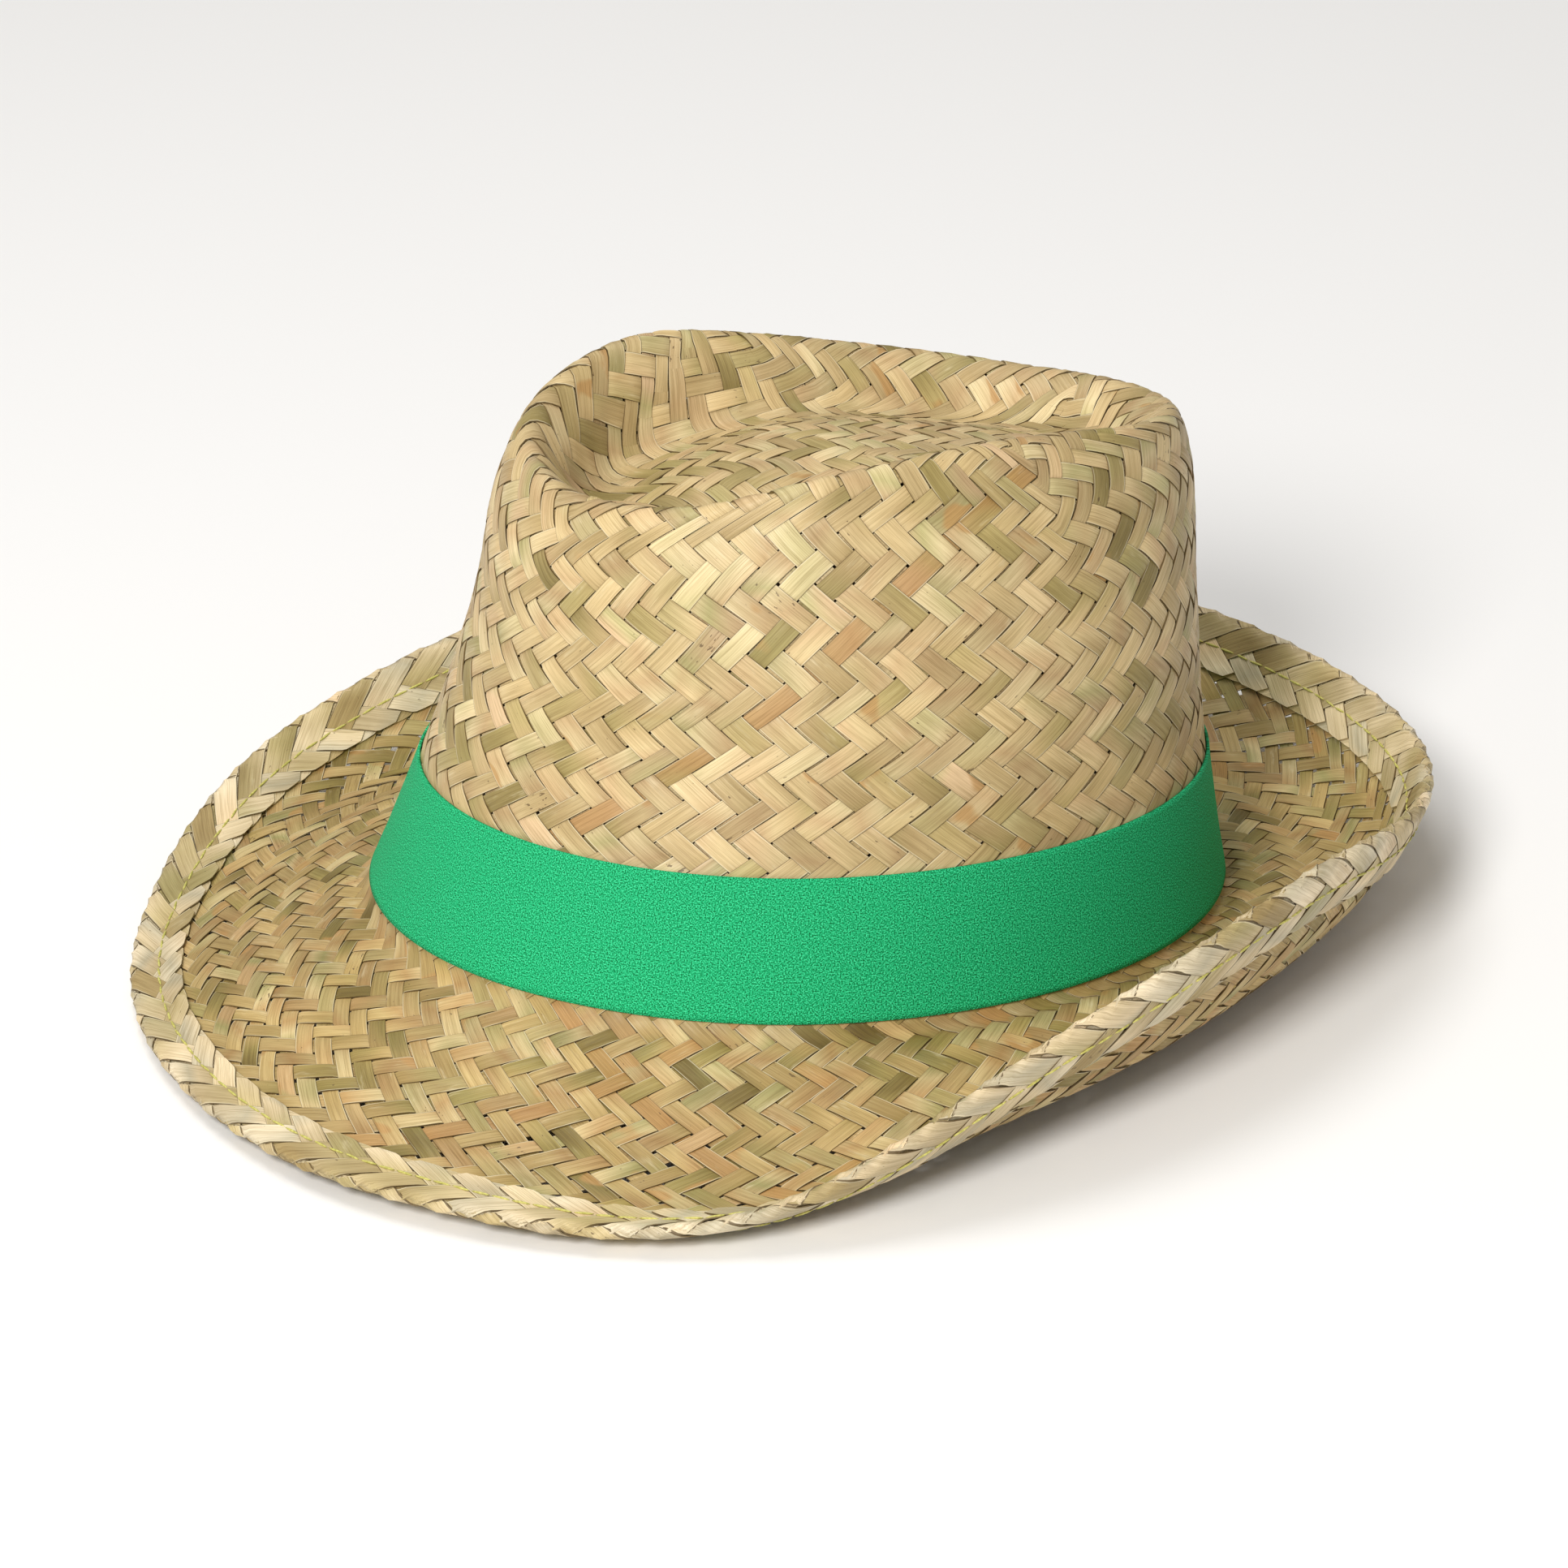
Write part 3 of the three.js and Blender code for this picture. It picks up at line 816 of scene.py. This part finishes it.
first_row = -int(stitch_in / braid_row) - 1
last_row = int((braid_total - stitch_in) / braid_row) + 1
down = np.arange(first_row, last_row + 1)
run = np.arange((last_row - first_row) * braid_steps + 1)[None] / braid_steps
braid_ribbons = []
for way in (-1, 1):
    state = np.where(down // 2 % 2 == 0, 1.0, -1.0) * -way
    start = (np.arange(braid_count) * 2 + 1)[:, None]
    points = []
    for across in (0.0, -0.5, 0.5):
        row = first_row + 0.5 + run - across * way + 0 * start
        path = stitch_in + row * braid_row
        held = np.clip(path, 0, braid_total)
        held = held + (path - held) * braid_tuck
        angle = even_angles(braid_ring, (start + way * run + across) / (2 * braid_count))
        place, out = braid_surface(angle, held)
        points.append(place)
        if across == 0.0:
            normal = out
    rise = heights(np.repeat(state[None], braid_count, 0), braid_steps)
    fill = rng.uniform(0.93, 0.975, (braid_count, 1)) + 0 * rise
    tint = rng.uniform(0, plain_tint, braid_count)
    braid_ribbons.append(ribbons(points, normal, rise, fill, tint))
braid_straw = straw_material("braid_straw", (
    (0.0, linear(172, 150, 102)),
    (0.2, linear(196, 178, 130)),
    (0.38, linear(213, 194, 154)),
    (0.5, linear(226, 207, 170)),
    (0.62, linear(200, 190, 163)),
    (0.78, linear(240, 224, 192)),
    (1.0, linear(224, 197, 156)),
), 0.72)
braid = plait_object("brim_braid", braid_ribbons, braid_straw)
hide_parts("brim_binding")
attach(braid, "root")

# The ribbon. A closed loop of green crepe ribbon, 31 mm wide with a corded edge, is
# stretched round the foot of the crown and caught to it out of sight.
ribbon_width = 31 * mm
ribbon_thickness = 0.6 * mm
ribbon_stand = 0.6 * mm
ribbon_drop = 1.2 * mm
ribbon_ease = 0.2 * mm
ribbon_ease_height = 8 * mm
cord_height = 0.12 * mm
cord_share = 0.02
ribbon_turns = 360
ribbon_rows = 24
ribbon_angles = np.arange(ribbon_turns) / ribbon_turns * 2 * np.pi
wall_at = np.interp(ribbon_angles, turn_angles, wall_length)
first = (fold_radius - ribbon_drop) / wall_at
across = np.linspace(0, 1, ribbon_rows + 1)
ribbon_faces = []
for stand in (ribbon_stand, ribbon_stand + ribbon_thickness):
    place = 1 + first[:, None] + across[None] * (ribbon_width / wall_at)[:, None]
    angle = ribbon_angles[:, None] + 0 * place
    from_edge = np.minimum(across, 1 - across)
    cord = cord_height * np.exp(-((from_edge - cord_share) / cord_share) ** 2)
    normal = on_skin(skin_normal, angle, place)
    normal /= np.linalg.norm(normal, axis=-1, keepdims=True)
    # It stands off a little more along its lower edge, over the bend into the brim
    foot = np.clip(1.25 - across * ribbon_width / ribbon_ease_height, 0, 1)
    puff = stand + ribbon_ease * foot * foot * (3 - 2 * foot)
    puff = puff + (cord if stand > ribbon_stand else 0)
    ribbon_faces.append(on_skin(skin, angle, place) + normal * puff[None, :, None])
section = np.concatenate((ribbon_faces[1], ribbon_faces[0][:, ::-1]), 1)
ring = section.shape[1]
index = np.arange(ribbon_turns * ring).reshape(ribbon_turns, ring)
quads = np.stack((
    index, np.roll(index, -1, 1), np.roll(np.roll(index, -1, 1), -1, 0), np.roll(index, -1, 0),
), -1).reshape(-1, 4)
ribbon_mesh = bpy.data.meshes.new("ribbon")
ribbon_mesh.from_pydata(section.reshape(-1, 3).tolist(), [], quads[:, ::-1].tolist())
ribbon_middle = ribbon_faces[1][:, ribbon_rows // 2]
ribbon_length = np.linalg.norm(np.roll(ribbon_middle, -1, 0) - ribbon_middle, axis=1).sum()
ribbon_map = ribbon_mesh.uv_layers.new(name="ribbon_map")
cross_way = np.concatenate((across, across[::-1])) * ribbon_width
loop_vertex = np.empty(len(ribbon_mesh.loops), int)
ribbon_mesh.loops.foreach_get("vertex_index", loop_vertex)
loop_turn = loop_vertex // ring
wraps = np.repeat(loop_turn.reshape(-1, 4).max(1) - loop_turn.reshape(-1, 4).min(1) > 1, 4)
loop_turn = np.where(wraps & (loop_turn == 0), ribbon_turns, loop_turn)
ribbon_map.uv.foreach_set("vector", np.stack((
    loop_turn / ribbon_turns * ribbon_length, cross_way[loop_vertex % ring],
), -1).astype(np.float32).ravel())
ribbon_mesh.shade_smooth()
ribbon = bpy.data.objects.new("ribbon", ribbon_mesh)
bpy.context.scene.collection.objects.link(ribbon)
crepe = bpy.data.materials.new("green_crepe")
crepe.use_nodes = True
tree = crepe.node_tree
make = node_maker(tree)
shader = tree.nodes["Principled BSDF"]
uv = make("ShaderNodeUVMap", uv_map="ribbon_map")
grain = make("ShaderNodeMapping")
grain.inputs["Scale"].default_value = (1 / (0.3 * mm), 1 / (0.2 * mm), 1.0)
tree.links.new(uv.outputs["UV"], grain.inputs["Vector"])
pebble = make("ShaderNodeTexVoronoi", feature="F1")
pebble.inputs["Scale"].default_value = 1.0
tree.links.new(grain.outputs[0], pebble.inputs["Vector"])
thread = make("ShaderNodeTexNoise")
thread.inputs["Scale"].default_value = 3300.0
thread.inputs["Detail"].default_value = 2.0
tree.links.new(uv.outputs["UV"], thread.inputs["Vector"])
tone = make("ShaderNodeValToRGB")
ramp_stops(tone, (
    (0.36, linear(0, 98, 50)),
    (0.5, linear(14, 172, 108)),
    (0.64, linear(70, 220, 156)),
))
tree.links.new(thread.outputs["Fac"], tone.inputs[0])
tree.links.new(tone.outputs[0], shader.inputs["Base Color"])
shader.inputs["Roughness"].default_value = 0.75
shader.inputs["Specular IOR Level"].default_value = 0.2
height = make("ShaderNodeMath", operation="ADD")
tree.links.new(pebble.outputs["Distance"], height.inputs[0])
tree.links.new(thread.outputs["Fac"], height.inputs[1])
bump = make("ShaderNodeBump")
bump.inputs["Strength"].default_value = 0.8
bump.inputs["Distance"].default_value = 0.15 * mm
tree.links.new(height.outputs[0], bump.inputs["Height"])
tree.links.new(bump.outputs["Normal"], shader.inputs["Normal"])
ribbon_mesh.materials.append(crepe)
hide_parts("ribbon_band")
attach(ribbon, "root")

# The thread. One line of machine stitches in yellow-green cotton holds the braid, with the
# upper thread on top of the brim and the bobbin thread under it.
stitch_length = 4.6 * mm
stitch_width = 0.54 * mm
thread_stand = 0.06 * mm
stitch_share = 0.93
stitch_swing = 0.12
seam_points = 240
stitch_tree = bpy.data.node_groups.new("stitch_line", "GeometryNodeTree")
stitch_tree.is_modifier = True
stitch_tree.interface.new_socket("Geometry", in_out="INPUT", socket_type="NodeSocketGeometry")
length_socket = stitch_tree.interface.new_socket(
    "Stitch length", in_out="INPUT", socket_type="NodeSocketFloat")
width_socket = stitch_tree.interface.new_socket(
    "Thread width", in_out="INPUT", socket_type="NodeSocketFloat")
material_socket = stitch_tree.interface.new_socket(
    "Thread", in_out="INPUT", socket_type="NodeSocketMaterial")
stitch_tree.interface.new_socket("Geometry", in_out="OUTPUT", socket_type="NodeSocketGeometry")
make = node_maker(stitch_tree)
link = stitch_tree.links.new
given = make("NodeGroupInput")
resample = make("GeometryNodeResampleCurve", mode="LENGTH")
link(given.outputs["Geometry"], resample.inputs["Curve"])
link(given.outputs["Stitch length"], resample.inputs["Length"])
bead = make("GeometryNodeMeshUVSphere")
bead.inputs["Segments"].default_value = 8
bead.inputs["Rings"].default_value = 8
bead.inputs["Radius"].default_value = 0.5
tangent = make("GeometryNodeInputTangent")
align = make("FunctionNodeAlignRotationToVector", axis="X")
link(tangent.outputs[0], align.inputs["Vector"])
size = make("ShaderNodeCombineXYZ")
shorter = make("ShaderNodeMath", operation="MULTIPLY")
shorter.inputs[1].default_value = stitch_share
link(given.outputs["Stitch length"], shorter.inputs[0])
link(shorter.outputs[0], size.inputs[0])
link(given.outputs["Thread width"], size.inputs[1])
link(given.outputs["Thread width"], size.inputs[2])
swing = make("FunctionNodeRandomValue", data_type="FLOAT")
swing.inputs[2].default_value = -stitch_swing
swing.inputs[3].default_value = stitch_swing
swing.inputs["Seed"].default_value = 5
swing_turn = make("ShaderNodeCombineXYZ")
link(swing.outputs[1], swing_turn.inputs[2])
rotate = make("FunctionNodeRotateRotation", rotation_space="LOCAL")
link(align.outputs[0], rotate.inputs[0])
link(swing_turn.outputs[0], rotate.inputs[1])
place_beads = make("GeometryNodeInstanceOnPoints")
link(resample.outputs[0], place_beads.inputs["Points"])
link(bead.outputs["Mesh"], place_beads.inputs["Instance"])
link(rotate.outputs[0], place_beads.inputs["Rotation"])
link(size.outputs[0], place_beads.inputs["Scale"])
real = make("GeometryNodeRealizeInstances")
link(place_beads.outputs[0], real.inputs[0])
smooth = make("GeometryNodeSetShadeSmooth")
link(real.outputs[0], smooth.inputs[0])
dress = make("GeometryNodeSetMaterial")
link(smooth.outputs[0], dress.inputs["Geometry"])
link(given.outputs["Thread"], dress.inputs["Material"])
leave = make("NodeGroupOutput")
link(dress.outputs[0], leave.inputs[0])

cotton = bpy.data.materials.new("yellow_green_cotton")
cotton.use_nodes = True
make = node_maker(cotton.node_tree)
shader = cotton.node_tree.nodes["Principled BSDF"]
where = make("ShaderNodeTexCoord")
twist = make("ShaderNodeTexNoise")
twist.inputs["Scale"].default_value = 1400.0
cotton.node_tree.links.new(where.outputs["Object"], twist.inputs["Vector"])
tone = make("ShaderNodeValToRGB")
ramp_stops(tone, ((0.3, linear(168, 162, 72)), (0.7, linear(214, 208, 120))))
cotton.node_tree.links.new(twist.outputs["Fac"], tone.inputs[0])
cotton.node_tree.links.new(tone.outputs[0], shader.inputs["Base Color"])
shader.inputs["Roughness"].default_value = 0.6
bump = make("ShaderNodeBump")
bump.inputs["Strength"].default_value = 0.5
bump.inputs["Distance"].default_value = 0.1 * mm
cotton.node_tree.links.new(twist.outputs["Fac"], bump.inputs["Height"])
cotton.node_tree.links.new(bump.outputs["Normal"], shader.inputs["Normal"])

thread_angles = np.arange(seam_points) / seam_points * 2 * np.pi
for name, way in (("upper_thread", stitch_in), ("bobbin_thread", braid_total - stitch_in)):
    seam, out = braid_surface(thread_angles, np.full(thread_angles.shape, way))
    seam = seam + out * (strip_rise + strip_thickness / 2 + thread_stand)
    path = bpy.data.curves.new(name, "CURVE")
    path.dimensions = "3D"
    line = path.splines.new("POLY")
    line.points.add(len(seam) - 1)
    line.points.foreach_set("co", np.column_stack((seam, np.ones(len(seam)))).ravel())
    line.use_cyclic_u = True
    guide = bpy.data.objects.new(name + "_path", path)
    bpy.context.scene.collection.objects.link(guide)
    sew = guide.modifiers.new("sew", "NODES")
    sew.node_group = stitch_tree
    sew[length_socket.identifier] = stitch_length
    sew[width_socket.identifier] = stitch_width
    sew[material_socket.identifier] = cotton
    bpy.context.view_layer.update()
    sewn = bpy.data.meshes.new_from_object(
        guide.evaluated_get(bpy.context.evaluated_depsgraph_get()))
    guide.modifiers.remove(sew)
    bpy.data.objects.remove(guide)
    stitches = bpy.data.objects.new(name, sewn)
    bpy.context.scene.collection.objects.link(stitches)
    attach(stitches, "root")
